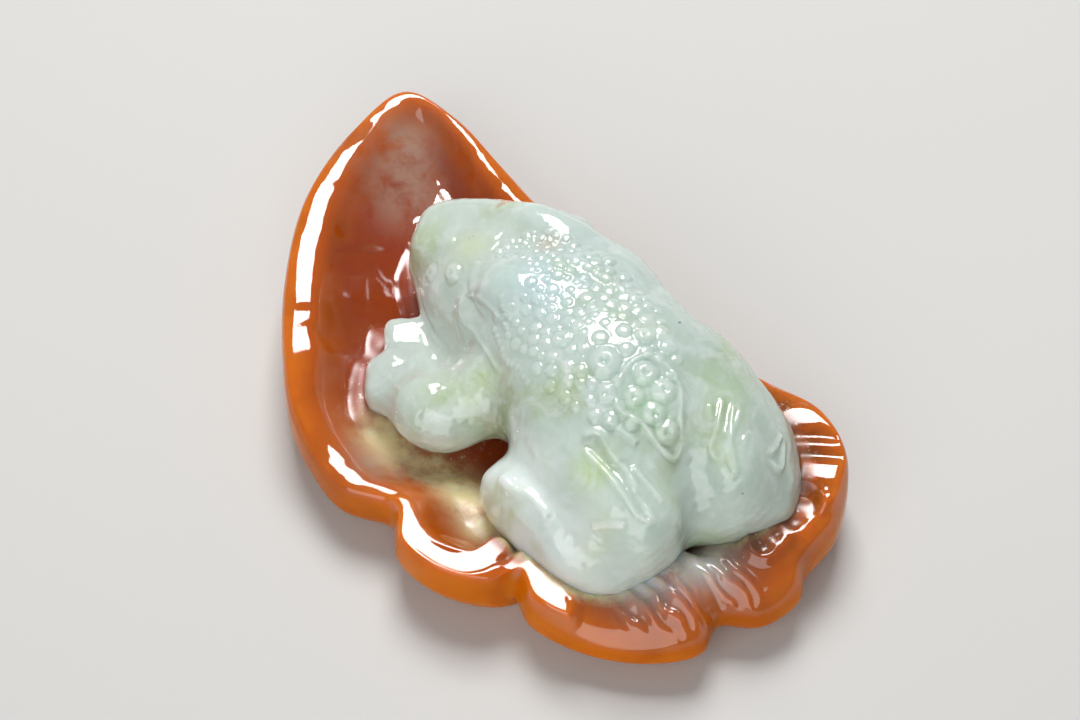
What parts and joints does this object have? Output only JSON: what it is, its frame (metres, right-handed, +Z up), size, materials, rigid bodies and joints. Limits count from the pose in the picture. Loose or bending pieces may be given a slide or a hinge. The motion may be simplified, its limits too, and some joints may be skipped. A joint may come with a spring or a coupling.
{
  "type": "jade figurine",
  "caption": "Small polished stone carving of a warty toad resting in the hollow of a thick curled leaf, to hold in the hand or stand on a desk.",
  "frame": {"origin": "under the middle of the carving, on the flat that it rests on", "axes": "+Z up, +Y towards the leaf's tip, the way the toad faces, +X towards the toad's right"},
  "size_m": [0.0346, 0.0556, 0.0158],
  "materials": {
    "amber_jade": "high polish",
    "pale_jade": "high polish"
  },
  "bodies": {
    "root": {"leaf": "amber_jade", "torso": "pale_jade", "head": "pale_jade", "brow_left": "pale_jade", "brow_right": "pale_jade", "eye_left": "pale_jade", "eye_right": "pale_jade", "foreleg_left": "pale_jade", "hand_left": "pale_jade", "foreleg_right": "pale_jade", "hand_right": "pale_jade", "thigh_left": "pale_jade", "foot_left": "pale_jade", "thigh_right": "pale_jade", "foot_right": "pale_jade"}
  },
  "joints": []
}
